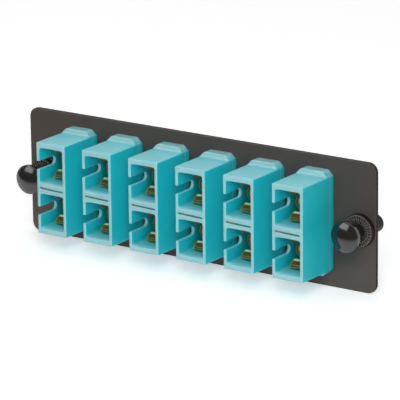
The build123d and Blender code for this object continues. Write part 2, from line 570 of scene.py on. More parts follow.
def make_painted_sheen() -> bpy.types.NodeTree:
    """Share of the painted highlight on faces that look out of the row or upwards; Deep is the
    share of painted shade in recesses.

    Mask is the largest of Ends x step(|normal y|), Tops x step(normal z) x free and
    Crests x step(normal z) above Crest Height. Each step rises smoothly from From to To. Noise
    breaks the mask up a little, and it is lost in corners within Reach. Free is 1 in the open
    and falls where walls stand within Room; Deep is 1 less free.

    Returns:
        The group's tree.
    """
    sockets = {
        "Ends": 0.0,
        "Tops": 0.0,
        "Crests": 0.0,
        "Crest Height": 0.0134,
        "From": 0.2,
        "To": 0.6,
        "Reach": 0.0003,
        "Room": 0.005,
    }
    graph, tree = shader_group("painted_sheen", sockets, ("Mask", "Deep"))
    given = graph.node("NodeGroupInput").outputs
    normal = graph.node("ShaderNodeNewGeometry").outputs["Normal"]
    along = graph.node("ShaderNodeSeparateXYZ", {0: normal}).outputs
    end, top = (
        graph.node(
            "ShaderNodeMapRange",
            {0: facing, 1: given["From"], 2: given["To"]},
            interpolation_type="SMOOTHSTEP",
        ).outputs[0]
        for facing in (graph.math("ABSOLUTE", along["Y"]), along["Z"])
    )
    place = graph.node("ShaderNodeTexCoord").outputs["Object"]
    height = graph.node("ShaderNodeSeparateXYZ", {0: place}).outputs["Z"]
    above = graph.math("GREATER_THAN", height, given["Crest Height"])
    around = graph.node("ShaderNodeAmbientOcclusion", {"Distance": given["Room"]}, samples=8)
    free = graph.node("ShaderNodeMapRange", {0: around.outputs["AO"], 1: 0.26, 2: 0.5}).outputs[0]
    ends = graph.math("MULTIPLY", end, given["Ends"])
    tops = graph.math("MULTIPLY", graph.math("MULTIPLY", top, given["Tops"]), free)
    crests = graph.math("MULTIPLY", graph.math("MULTIPLY", top, above), given["Crests"])
    share = graph.math("MAXIMUM", ends, graph.math("MAXIMUM", tops, crests))
    broken = graph.math("MULTIPLY_ADD", graph.noise(420.0, 4.0), 0.5, 0.75)
    near = graph.node("ShaderNodeAmbientOcclusion", {"Distance": given["Reach"]}, samples=8)
    open_share = graph.node("ShaderNodeMapRange", {0: near.outputs["AO"], 1: 0.55, 2: 0.95})
    broken = graph.math("MULTIPLY", broken, open_share.outputs[0])
    mask = graph.math("MULTIPLY", share, broken, clamp=True)
    # Deep darkens the materials in recesses as painted shade.
    recess_shade = graph.math("SUBTRACT", 1.0, free)
    graph.node("NodeGroupOutput", {"Mask": mask, "Deep": recess_shade})
    return tree


@dataclass(frozen=True)
class SharedGroups:
    """The node groups that all finishes share."""

    mould_grain: bpy.types.NodeTree
    edge_highlight: bpy.types.NodeTree
    painted_sheen: bpy.types.NodeTree

    @classmethod
    def make(cls) -> SharedGroups:
        """Builds every shared group once."""
        return cls(make_mould_grain(), make_edge_highlight(), make_painted_sheen())


@dataclass(frozen=True)
class Moulding:
    """A moulded plastic: colour, gloss, grain, painted highlights on raised edges and on faces
    turned out or up, and painted shade in recesses.
    """

    name: str
    colour: tuple[float, float, float]
    shade: tuple[float, float, float]
    # edge is the colour of the painted highlight on raised edges.
    edge: tuple[float, float, float]
    roughness: float
    roughness_spread: float
    grain_scale: float
    grain_depth: float
    edge_highlight_share: float = 0.5
    edge_radius: float = 0.3
    edge_gain: float = 6.0
    # The next seven fields set a painted highlight on faces turned out of the row or up, and
    # painted shade in recesses.
    end_sheen: float = 0.0
    top_sheen: float = 0.0
    crest_sheen: float = 0.0
    sheen_steps: tuple[float, float] = (0.05, 0.35)
    sheen_colour: tuple[float, float, float] = (1.0, 1.0, 1.0)
    recess_shade_share: float = 0.0
    recess_shade_colour: tuple[float, float, float] = (0.0, 0.0, 0.0)
    specular: float = 0.5
    subsurface: float = 0.0
    subsurface_scale: float = 0.0005
    grain_strength: float = 0.6
    worn_roughness: float = 0.06

    def material(self, groups: SharedGroups) -> bpy.types.Material:
        """The finish as a material.

        Args:
            groups: The shared node groups.

        Returns:
            A node material.
        """
        made = bpy.data.materials.new(self.name)
        made.use_nodes = True
        graph = Graph(made.node_tree)
        grain = graph.node("ShaderNodeGroup", node_tree=groups.mould_grain)
        grain.inputs["Scale"].default_value = self.grain_scale
        edge_glint = graph.node("ShaderNodeGroup", node_tree=groups.edge_highlight)
        edge_glint.inputs["Radius"].default_value = self.edge_radius * MM
        edge_glint.inputs["Gain"].default_value = self.edge_gain
        painted_sheen = graph.node("ShaderNodeGroup", node_tree=groups.painted_sheen)
        painted_sheen.inputs["Ends"].default_value = self.end_sheen
        painted_sheen.inputs["Tops"].default_value = self.top_sheen
        painted_sheen.inputs["Crests"].default_value = self.crest_sheen
        painted_sheen.inputs["From"].default_value, painted_sheen.inputs["To"].default_value = self.sheen_steps
        tone = graph.blend(grain.outputs["Tone"], (*self.shade, 1), (*self.colour, 1))
        # Painted shade in recesses, then a painted highlight on faces turned out of the row or up.
        recess_shade = graph.math("MULTIPLY", painted_sheen.outputs["Deep"], self.recess_shade_share)
        tone = graph.blend(recess_shade, tone, (*self.recess_shade_colour, 1))
        tone = graph.blend(painted_sheen.outputs["Mask"], tone, (*self.sheen_colour, 1))
        # Painted highlight on raised edges.
        edge_lit = graph.math("MULTIPLY", edge_glint.outputs["Mask"], self.edge_highlight_share)
        colour = graph.blend(edge_lit, tone, (*self.edge, 1))
        patch = graph.math("SUBTRACT", grain.outputs["Tone"], 0.5)
        rough = graph.math("MULTIPLY_ADD", patch, self.roughness_spread, self.roughness)
        rough = graph.math("MULTIPLY_ADD", edge_glint.outputs["Mask"], self.worn_roughness, rough)
        bump = graph.node(
            "ShaderNodeBump",
            {
                "Height": grain.outputs["Height"],
                "Strength": self.grain_strength,
                "Distance": self.grain_depth * MM,
            },
        )
        shader = graph.node(
            "ShaderNodeBsdfPrincipled",
            {
                "Base Color": colour,
                "Roughness": rough,
                "Normal": bump.outputs[0],
                "Specular IOR Level": self.specular,
                "Subsurface Weight": self.subsurface,
                "Subsurface Radius": self.colour,
                "Subsurface Scale": self.subsurface_scale,
            },
        )
        graph.node("ShaderNodeOutputMaterial", {"Surface": shader.outputs[0]})
        return made


@dataclass(frozen=True)
class PowderPaint:
    """Dark stoved paint on sheet steel: orange peel, fine speckle, darker and duller faces round
    its edges, and a painted highlight on raised edges.
    """

    name: str = "dark_stoved_paint"
    colour: tuple[float, float, float] = (0.068, 0.053, 0.046)
    speck: tuple[float, float, float] = (0.094, 0.076, 0.067)
    # edge is the colour of the painted highlight on raised edges; rim is the darker colour of the
    # faces round the plate's edges.
    edge: tuple[float, float, float] = (0.14, 0.125, 0.115)
    rim: tuple[float, float, float] = (0.018, 0.015, 0.014)
    roughness: float = 0.42
    rim_roughness: float = 0.5
    edge_highlight_share: float = 0.35
    cloud_scale: float = 60.0
    cloud_gain: float = 1.12
    speck_steps: tuple[float, float] = (0.58, 0.7)
    speck_share: float = 0.8
    peel_scale: float = 1300.0
    peel_depth: float = 0.006

    def material(self, groups: SharedGroups) -> bpy.types.Material:
        """The finish as a material.

        Args:
            groups: The shared node groups.

        Returns:
            A node material.
        """
        made = bpy.data.materials.new(self.name)
        made.use_nodes = True
        graph = Graph(made.node_tree)
        edge_glint = graph.node("ShaderNodeGroup", node_tree=groups.edge_highlight)
        peel = graph.noise(self.peel_scale, 2.0)
        fine = graph.noise(self.peel_scale * 5, 3.0)
        slow = graph.noise(self.cloud_scale, 3.0)
        first, last = self.speck_steps
        speck = graph.node(
            "ShaderNodeMapRange", {0: fine, 1: first, 2: last, 3: 0.0, 4: self.speck_share}
        )
        cloud = (*(part * self.cloud_gain for part in self.colour), 1)
        tone = graph.blend(slow, (*self.colour, 1), cloud)
        tone = graph.blend(speck.outputs[0], tone, (*self.speck, 1))
        # Faces that turn from the front and back, round the plate's edges, are drawn darker and
        # rougher.
        normal = graph.node("ShaderNodeNewGeometry").outputs["Normal"]
        facing = graph.node("ShaderNodeSeparateXYZ", {0: normal}).outputs["Y"]
        facing = graph.math("ABSOLUTE", facing)
        cut = graph.node("ShaderNodeMapRange", {0: facing, 1: 0.5, 2: 0.2}).outputs[0]
        tone = graph.blend(cut, tone, (*self.rim, 1))
        # Raised edges lightened as a painted highlight, kept off the faces round the plate's edges.
        edge_lit = graph.math("MULTIPLY", edge_glint.outputs["Mask"], self.edge_highlight_share)
        edge_lit = graph.math("MULTIPLY", edge_lit, graph.math("SUBTRACT", 1.0, cut))
        colour = graph.blend(edge_lit, tone, (*self.edge, 1))
        rough = graph.math("MULTIPLY_ADD", peel, 0.1, self.roughness - 0.05)
        rough = graph.math("MULTIPLY_ADD", cut, self.rim_roughness, rough)
        height = graph.math("MULTIPLY_ADD", fine, 0.25, peel)
        bump = graph.node(
            "ShaderNodeBump", {"Height": height, "Strength": 0.5, "Distance": self.peel_depth * MM}
        )
        shader = graph.node(
            "ShaderNodeBsdfPrincipled",
            {
                "Base Color": colour,
                "Roughness": rough,
                "Normal": bump.outputs[0],
                "Specular IOR Level": 0.5,
            },
        )
        graph.node("ShaderNodeOutputMaterial", {"Surface": shader.outputs[0]})
        return made


@dataclass(frozen=True)
class SpringSteel:
    """Rolled stainless strip with its rolling lines along the panel's depth and a painted highlight
    on its edges.
    """

    name: str = "rolled_spring_steel"
    colour: tuple[float, float, float] = (0.60, 0.60, 0.59)
    shade: tuple[float, float, float] = (0.47, 0.47, 0.46)
    edge: tuple[float, float, float] = (0.72, 0.72, 0.71)
    roughness: float = 0.27
    line_scale: float = 3000.0
    line_stretch: tuple[float, float, float] = (1.0, 0.04, 1.0)
    line_depth: float = 0.002
    stain_scale: float = 180.0

    def material(self, groups: SharedGroups) -> bpy.types.Material:
        """The finish as a material.

        Args:
            groups: The shared node groups.

        Returns:
            A node material.
        """
        made = bpy.data.materials.new(self.name)
        made.use_nodes = True
        graph = Graph(made.node_tree)
        lines = graph.noise(self.line_scale, 4.0, self.line_stretch)
        stain = graph.noise(self.stain_scale, 3.0)
        edge_glint = graph.node("ShaderNodeGroup", node_tree=groups.edge_highlight)
        tone = graph.blend(lines, (*self.shade, 1), (*self.colour, 1))
        # Painted highlight on raised edges.
        colour = graph.blend(edge_glint.outputs["Mask"], tone, (*self.edge, 1))
        rough = graph.math("MULTIPLY_ADD", lines, 0.12, self.roughness - 0.04)
        rough = graph.math("MULTIPLY_ADD", stain, 0.1, rough)
        bump = graph.node(
            "ShaderNodeBump", {"Height": lines, "Strength": 0.4, "Distance": self.line_depth * MM}
        )
        shader = graph.node(
            "ShaderNodeBsdfPrincipled",
            {"Base Color": colour, "Metallic": 1.0, "Roughness": rough, "Normal": bump.outputs[0]},
        )
        graph.node("ShaderNodeOutputMaterial", {"Surface": shader.outputs[0]})
        return made


@dataclass
class Palette:
    """Every finish of the panel, made once."""

    groups: SharedGroups = field(default_factory=SharedGroups.make)
    # Aqua: the edge colour, the pale colour on faces turned out or up, and the crest colour are
    # painted highlights; the dark green recess colour is painted shade.
    aqua: Moulding = Moulding(
        "aqua_moulding", (0.021, 0.64, 0.73), (0.017, 0.60, 0.69), (0.56, 0.76, 0.78),
        roughness=0.36, roughness_spread=0.06, grain_scale=3600.0, grain_depth=0.003,
        edge_highlight_share=0.85, edge_radius=0.35, end_sheen=0.8, top_sheen=0.35, crest_sheen=0.7,
        sheen_colour=(0.43, 0.68, 0.71), recess_shade_share=0.8, recess_shade_colour=(0.007, 0.38, 0.34),
        subsurface=0.5, subsurface_scale=0.0035,
    )
    # Amber: the bright yellow edges and hook crests are painted highlights.
    amber: Moulding = Moulding(
        "amber_moulding", (0.075, 0.07, 0.014), (0.055, 0.05, 0.01), (0.70, 0.66, 0.16),
        roughness=0.2, roughness_spread=0.06, grain_scale=5000.0, grain_depth=0.002,
        edge_highlight_share=1.0, edge_radius=0.35, edge_gain=14.0, top_sheen=1.0,
        sheen_steps=(0.75, 0.9), sheen_colour=(0.88, 0.80, 0.40), specular=0.3,
    )
    # Zirconia: a light painted highlight on its edges.
    ceramic: Moulding = Moulding(
        "zirconia", (0.82, 0.81, 0.77), (0.78, 0.77, 0.72), (0.88, 0.87, 0.84),
        roughness=0.14, roughness_spread=0.04, grain_scale=7000.0, grain_depth=0.001,
        edge_highlight_share=0.3,
    )
    # Knob: a faint painted highlight on its edges.
    knob_nylon: Moulding = Moulding(
        "glossy_black_nylon", (0.010, 0.008, 0.007), (0.008, 0.006, 0.006), (0.05, 0.045, 0.04),
        roughness=0.14, roughness_spread=0.04, grain_scale=4200.0, grain_depth=0.0006,
        edge_highlight_share=0.25, specular=1.0,
    )
    # Grommet: the pale edges and rib faces are painted highlights.
    grommet_nylon: Moulding = Moulding(
        "satin_black_nylon", (0.012, 0.010, 0.009), (0.008, 0.007, 0.006), (0.42, 0.40, 0.38),
        roughness=0.42, roughness_spread=0.08, grain_scale=4200.0, grain_depth=0.002,
        edge_highlight_share=0.9, edge_radius=0.15, edge_gain=16.0, end_sheen=0.9,
        sheen_steps=(0.86, 0.97), sheen_colour=(0.20, 0.19, 0.18), specular=0.15,
    )

    def dress(self) -> dict[Slot, bpy.types.Material]:
        """Makes the materials.

        Returns:
            Every slot's material.
        """
        return {
            Slot.PLATE: PowderPaint().material(self.groups),
            Slot.HOUSING: self.aqua.material(self.groups),
            Slot.LATCH: self.amber.material(self.groups),
            Slot.SLEEVE: self.ceramic.material(self.groups),
            Slot.CLIP: SpringSteel().material(self.groups),
            Slot.GROMMET: self.grommet_nylon.material(self.groups),
            Slot.PLUNGER: self.knob_nylon.material(self.groups),
        }


# Sub-assemblies


@dataclass
class PanelPlate:
    """The stamped plate with its adapter windows and fastener holes."""

    width: float = 110.2
    height: float = 34.9
    thickness: float = 1.2
    corner_radius: float = 2.6
    window_width: float = 9.6
    window_height: float = 25.7
    window_corner: float = 0.4
    hole_radius: float = 2.9
    edge_rounding: float = 0.16
    corner_steps: int = 14
    window_steps: int = 5
    hole_steps: int = 48

    def form(
        self, windows: Sequence[float], holes: Sequence[tuple[float, float]]
    ) -> bpy.types.Mesh:
        """The plate's mesh: each outline is carried through the thickness, both faces filled.

        Args:
            windows: Centres of the adapter windows along X.
            holes: Centres (x, z) of the fastener holes.

        Returns:
            The closed mesh.
        """
        outline = rounded_rectangle(
            self.width, self.height, self.corner_radius, self.corner_steps
        )
        window = rounded_rectangle(
            self.window_width, self.window_height, self.window_corner, self.window_steps
        )
        cuts = [window + (x, 0) for x in windows]
        cuts += [arc(centre, self.hole_radius, 0, 360, self.hole_steps)[:-1] for centre in holes]
        skin = Skin()
        for level in (-self.thickness, 0.0):
            skin.fill(lift(outline, Sheet.XZ, level), [lift(cut, Sheet.XZ, level) for cut in cuts])
        for edge in (outline, *cuts):
            ring = lift(distinct(edge), Sheet.XZ, -self.thickness)
            skin.wall(ring, (0, self.thickness, 0), closed=True)
        return skin.mesh("plate_form")

    def build(
        self,
        windows: Sequence[float],
        holes: Sequence[tuple[float, float]],
        finish: bpy.types.Material,
    ) -> None:
        """Makes the plate and dresses it.

        Args:
            windows: Centres of the adapter windows along X.
            holes: Centres (x, z) of the fastener holes.
            finish: The plate's material.
        """
        piece = placed(self.form(windows, holes), "panel_plate", (0, 0, 0))
        soften(piece, self.edge_rounding, 3)
        settle(piece, "panel_plate", Body.PANEL, finish)


@dataclass
class Housing:
    """Half of an adapter housing, drawn with its parting face on y = 0 and its mouth on -Y.

    The rear half is the front half's mirror image, with a recess for the clip and a plain
    flange, whose front edges are hidden by the other half.
    """

    width: float = 9.3
    height: float = 25.4
    corner_radius: float = 0.3
    length: float = 13.1
    flange_half_depth: float = 1.5
    flange_rise: float = 1.35
    flange_rounding: float = 0.9
    flange_edge: float = 0.2
    foot_radius: float = 0.7
    port_pitch: float = 12.7
    port_width: float = 7.6
    port_height: float = 9.1
    mouth_height: float = 9.9
    scoop_depth: float = 2.5
    scoop_chords: int = 24
    groove_width: float = 0.5
    groove_depth: float = 0.8
    slot_width: float = 2.3
    slot_length: float = 7.3
    pocket_width: float = 8.0
    pocket_height: float = 10.0
    pocket_depth: float = 1.2
    recess_depth: float = 0.3
    recess_start: float = 3.4
    recess_end: float = 9.6
    recess_side: float = -3.5
    edge_rounding: float = 0.16
    parting_share: float = 0.25
    corner_steps: int = 5
    round_steps: int = 16
    flange_steps: int = 6
    scoop_rows: int = 6

    def _corner(self, share: float, inset: float) -> np.ndarray:
        """Upper +X corner of the outline, from its side to its top.

        It blends evenly from the body's small quarter circle to the flange's chamfer, whose
        two ends are rounded.

        Args:
            share: 0 at the body, 1 at the flange's full height.
            inset: How far the outline lies inside the body.

        Returns:
            Points (x, z).
        """
        radius, half_w, half_h = self.corner_radius, self.width / 2 - inset, self.height / 2 - inset
        rise, bend = self.flange_rise, self.flange_rounding
        body = arc((half_w - radius, half_h - radius), radius, 0, 90, 2 * self.corner_steps + 3)
        line = [(half_w, half_h - bend), (half_w, half_h), (half_w - rise, half_h + rise)]
        line.append((half_w - rise - bend / 2, half_h + rise))
        flange = rounded_corners(line, (0, bend, bend, 0), self.corner_steps)
        return body * (1 - share) + flange * share

    def _outline(self, share: float, recessed: bool = False) -> np.ndarray:
        """The outline from its lower -X corner by +X to its upper -X corner.

        Args:
            share: 0 at the body, 1 at the flange's full height.
            recessed: Whether the part beyond the clip's ends lies in the clip's recess.

        Returns:
            Points (x, z), the same number for every share.
        """
        outer, inner = self._corner(share, 0), self._corner(share, self.recess_depth * recessed)
        end = self.recess_side + self.recess_depth * 2 * share
        tops = (outer[-1, 1], inner[-1, 1])
        return np.vstack(
            (
                outer * (-1, -1),
                ((end, -tops[0]), (end, -tops[1])),
                inner[::-1] * (1, -1),
                inner,
                ((end, tops[1]), (end, tops[0])),
                outer[::-1] * (-1, 1),
            )
        )

    def _stations(self, half: Half) -> list[tuple[float, float, bool]]:
        """The outline's places along Y.

        The front half's flange rises from the body on a hollow quarter circle and turns into
        its top on a raised one.

        Args:
            half: The half that is drawn.

        Returns:
            For each place its y, its share of the flange and whether it lies in the recess.
        """
        flange = -self.flange_half_depth
        ends = [(flange, 1.0, False), (0.0, 1.0, False)]
        if half is Half.REAR:
            return [
                (-self.length, 0.0, False),
                (-self.recess_end, 0.0, False),
                (-self.recess_end, 0.0, True),
                (-self.recess_start, 0.0, True),
                (-self.recess_start, 0.0, False),
                (flange, 0.0, False),
                *ends,
            ]
        turn = np.radians(np.linspace(0, 90, self.flange_steps + 1))
        foot = self.foot_radius * (1 - np.cos(turn))
        edge = self.flange_rise - self.flange_edge * (1 - np.sin(turn))
        along = flange - self.foot_radius * (1 - np.sin(turn))
        over = flange + self.flange_edge * (1 - np.cos(turn))
        share = np.concatenate((foot, edge)) / self.flange_rise
        rising = [(float(y), float(h), False) for y, h in zip((*along, *over), share)]
        return [(-self.length, 0.0, False), *rising, (0.0, 1.0, False)]

    def _notch(self, centre: float) -> np.ndarray:
        """The key slot's edge, two straights and a half circle.

        Args:
            centre: The port's height.

        Returns:
            Points (y, z) from the slot's upper end at the mouth to its lower end.
        """
        radius = self.slot_width / 2
        end = -self.length + self.slot_length - radius
        bow = arc((end, centre), radius, 90, -90, self.round_steps)
        return np.vstack(((-self.length, centre + radius), bow, (-self.length, centre - radius)))

    def _outside(self, skin: Skin, half: Half) -> None:
        """The outer skin: outlines joined along Y, and the flat -X side with its key slots.

        Args:
            skin: The skin that takes the patches.
            half: The half that is drawn.
        """
        stations = self._stations(half)
        rings = [
            lift(self._outline(share, recessed), Sheet.XZ, y) for y, share, recessed in stations
        ]
        skin.grid(np.stack(rings))
        edge = np.array([(ring[-1, 1], ring[-1, 2]) for ring in rings])
        side = np.vstack(
            (
                edge * (1, -1),
                edge[::-1],
                self._notch(self.port_pitch / 2),
                self._notch(-self.port_pitch / 2),
            )
        )
        skin.fill(lift(side, Sheet.YZ, -self.width / 2))

    def _front(self, skin: Skin) -> None:
        """The mouth face: the outline less the mouths, the key slots and the web groove.

        Args:
            skin: The skin that takes the patches.
        """
        half_w, side, slot = self.port_width / 2, -self.width / 2, self.slot_width / 2
        across, _, level = self._scoop().transpose(2, 0, 1)
        lip = np.vstack(
            (
                np.column_stack((across[:, 0], level[:, 0])),
                np.column_stack((across[-1, 1:-1], level[-1, 1:-1])),
                np.column_stack((across[::-1, -1], level[::-1, -1])),
            )
        )
        rim = np.vstack((((side, slot), (-half_w, slot)), lip))
        around = np.vstack((rim, rim[::-1] * (1, -1)))
        upper = around + (0, self.port_pitch / 2)
        lower = around - (0, self.port_pitch / 2)
        face = np.vstack((self._outline(0.0), upper, lower))
        groove = self._groove()
        skin.fill(lift(face, Sheet.XZ, -self.length), [lift(groove, Sheet.XZ, -self.length)])
        skin.wall(lift(groove, Sheet.XZ, -self.length), (0, self.groove_depth, 0), closed=True)
        skin.fill(lift(groove, Sheet.XZ, -self.length + self.groove_depth))

    def _scoop(self) -> np.ndarray:
        """The hollow that widens a mouth upwards.

        Its rear edge is the half ellipse y = scoop_depth x sqrt(1 - (x / half width)^2) behind
        the mouth face. From there to the face, at share t, it falls away by t squared.

        Returns:
            A grid of points (x, y, z) round the port's centre.
        """
        half_w, shaft, mouth = self.port_width / 2, self.port_height / 2, self.mouth_height / 2
        across = np.linspace(-half_w, half_w, self.scoop_chords + 1)
        depth = self.scoop_depth * np.sqrt(np.maximum(0, 1 - (across / half_w) ** 2))
        share = np.linspace(0, 1, self.scoop_rows + 1)[:, None]
        along = -self.length + depth * (1 - share)
        level = shaft + (mouth - shaft) * share**2
        return np.stack((across + 0 * share, along, level + 0 * across), axis=-1)

    def _groove(self) -> np.ndarray:
        """Outline of the groove in the web between the ports."""
        half = self.groove_width / 2
        return rectangle((-self.port_width / 2, self.port_width / 2), (-half, half))

    def _port(self, skin: Skin, centre: float) -> None:
        """One port: shaft walls, scoops of the mouth, key slot and insert pocket.

        Args:
            skin: The skin that takes the patches.
            centre: The port's height.
        """
        half_w, shaft = self.port_width / 2, self.port_height / 2
        pocket = -self.pocket_depth
        ends = rectangle((-self.length, pocket), (centre - shaft, centre + shaft))
        skin.fill(lift(ends, Sheet.YZ, half_w))
        notch = self._notch(centre)
        skin.fill(lift(np.vstack((ends, notch)), Sheet.YZ, -half_w))
        wall = (self.width - self.port_width) / 2
        skin.wall(lift(notch, Sheet.YZ, -self.width / 2), (wall, 0, 0))
        scoop = self._scoop()
        floor = np.vstack((scoop[0, :, :2], ((half_w, pocket), (-half_w, pocket))))
        for way in (1, -1):
            skin.fill(lift(floor, Sheet.XY, centre + way * shaft))
            skin.grid(scoop * (1, 1, way) + (0, 0, centre))
        opening = rectangle((-half_w, half_w), (centre - shaft, centre + shaft))
        room = self._pocket(centre)
        skin.fill(lift(room, Sheet.XZ, pocket), [lift(opening, Sheet.XZ, pocket)])
        skin.wall(lift(room, Sheet.XZ, pocket), (0, self.pocket_depth, 0), closed=True)

    def _pocket(self, centre: float) -> np.ndarray:
        """Outline of the pocket that holds a port's latch insert."""
        half_w, half_h = self.pocket_width / 2, self.pocket_height / 2
        return rectangle((-half_w, half_w), (centre - half_h, centre + half_h))

    def form(self, half: Half) -> bpy.types.Mesh:
        """Makes the closed mesh of a half.

        Args:
            half: The half that is made.

        Returns:
            The mesh, with its edges' shares of the rounding.
        """
        skin = Skin()
        self._outside(skin, half)
        self._front(skin)
        centres = (self.port_pitch / 2, -self.port_pitch / 2)
        for centre in centres:
            self._port(skin, centre)
        pockets = [lift(self._pocket(centre), Sheet.XZ, 0.0) for centre in centres]
        skin.fill(lift(self._outline(1.0), Sheet.XZ, 0.0), pockets)
        mesh = skin.mesh(f"{half.value}_housing_form", mirror_y=half is Half.REAR)
        share_edges(mesh, self._edge_share)
        return mesh

    def _edge_share(self, middles: np.ndarray) -> np.ndarray:
        """The rounding's share: full ahead of the flange, little on the parting face's rim.

        Nothing is rounded where the mouths' scoops run out on the side walls, at the flange,
        whose own edges are drawn round, and round the clip's recess.

        Args:
            middles: Middles of edges, an array of points in millimetres.

        Returns:
            One share from 0 to 1 for each point.
        """
        near, margin, lip = 0.01, 0.1, 0.3
        across, along, height = np.abs(middles).T
        half_w, half_h = self.width / 2, self.height / 2
        parting = (across > half_w - self.flange_rise - margin) | (height > half_h)
        parting &= along < near
        ahead = along > self.flange_half_depth + self.foot_radius + margin
        level = np.abs(height - self.port_pitch / 2)
        chord = self.port_width / self.scoop_chords
        cusp = (across > self.port_width / 2 - chord) & (across < self.port_width / 2 + 2 * near)
        cusp &= (level > self.port_height / 2 + near) & (along > self.length - lip)
        inset = self.recess_depth + margin
        recess = (across > half_w - inset) | (height > half_h - inset)
        recess &= (along > self.recess_start - margin) & (along < self.recess_end + margin)
        recess &= middles[:, 1] > 0
        full = ahead & ~cusp & ~recess
        return np.where(parting, self.parting_share, np.where(full, 1.0, 0.0))


@dataclass
class SpringClip:
    """The U-shaped spring strip round the rear half, with a tongue above and below."""

    body_width: float = 9.3
    body_height: float = 25.4
    corner_radius: float = 0.6
    thickness: float = 0.3
    front: float = 0.8
    rear: float = 6.8
    leg_end: float = -3.4
    tongue_half: float = 1.9
    window_half: float = 2.3
    tongue_root: float = 5.8
    tongue_rise: float = 1.0
    edge_rounding: float = 0.05
    edge_angle: float = 40.0
    corner_steps: int = 6
    tongue_rows: int = 7

    def _leg(self) -> np.ndarray:
        """The upper leg's line, from its end to the side.

        Returns:
            Points (x, z): five on the flat, then a quarter circle.
        """
        half_w, half_h = self.body_width / 2, self.body_height / 2
        radius = self.corner_radius
        flat = [(x, half_h) for x in (self.leg_end, -self.window_half, -self.tongue_half)]
        flat += [(x, half_h) for x in (self.tongue_half, self.window_half)]
        corner = arc((half_w - radius, half_h - radius), radius, 90, 0, self.corner_steps)
        return np.vstack((flat, corner))

    def form(self) -> bpy.types.Mesh:
        """The strip's outer surface as a grid with the tongue windows left out.

        The grid's first parameter runs along the U, the second along Y. Each tongue is a
        second grid on the window's rear edge, and rises evenly towards the plate.

        Returns:
            The open mesh, which gets its thickness when it is placed.
        """
        upper = self._leg()
        line = np.vstack((upper, upper[::-1] * (1, -1)))
        depth = (self.front, self.tongue_root, self.rear)
        points = np.stack([lift(line, Sheet.XZ, y) for y in depth], axis=1)
        keep = np.ones((len(line) - 1, len(depth) - 1), bool)
        keep[1:4, 0] = keep[-4:-1, 0] = False
        skin = Skin()
        skin.grid(points, keep)
        along = np.linspace(0, self.tongue_root, self.tongue_rows)
        height = self.body_height / 2 + self.tongue_rise * (1 - along / self.tongue_root)
        for way in (1, -1):
            side = np.array((-way * self.tongue_half, way * self.tongue_half))[:, None]
            tongue = np.broadcast_arrays(side, along, way * height)
            skin.grid(np.stack(tongue, axis=-1))
        return skin.mesh("spring_clip_form", outward=False)

    def build(self, node: str, form: bpy.types.Mesh, x: float, finish: bpy.types.Material) -> None:
        """Places one clip and gives it its sheet thickness.

        Args:
            node: The node that it stands for.
            form: The clip's open mesh.
            x: Its adapter's place along the row.
            finish: Its material.
        """
        piece = placed(form, node, (x, 0, 0))
        sheet = piece.modifiers.new("sheet", "SOLIDIFY")
        sheet.thickness = self.thickness * MM
        sheet.offset = -1.0
        sheet.use_even_offset = True
        soften(piece, self.edge_rounding, angle=self.edge_angle)
        settle(piece, node, Body.PANEL, finish)


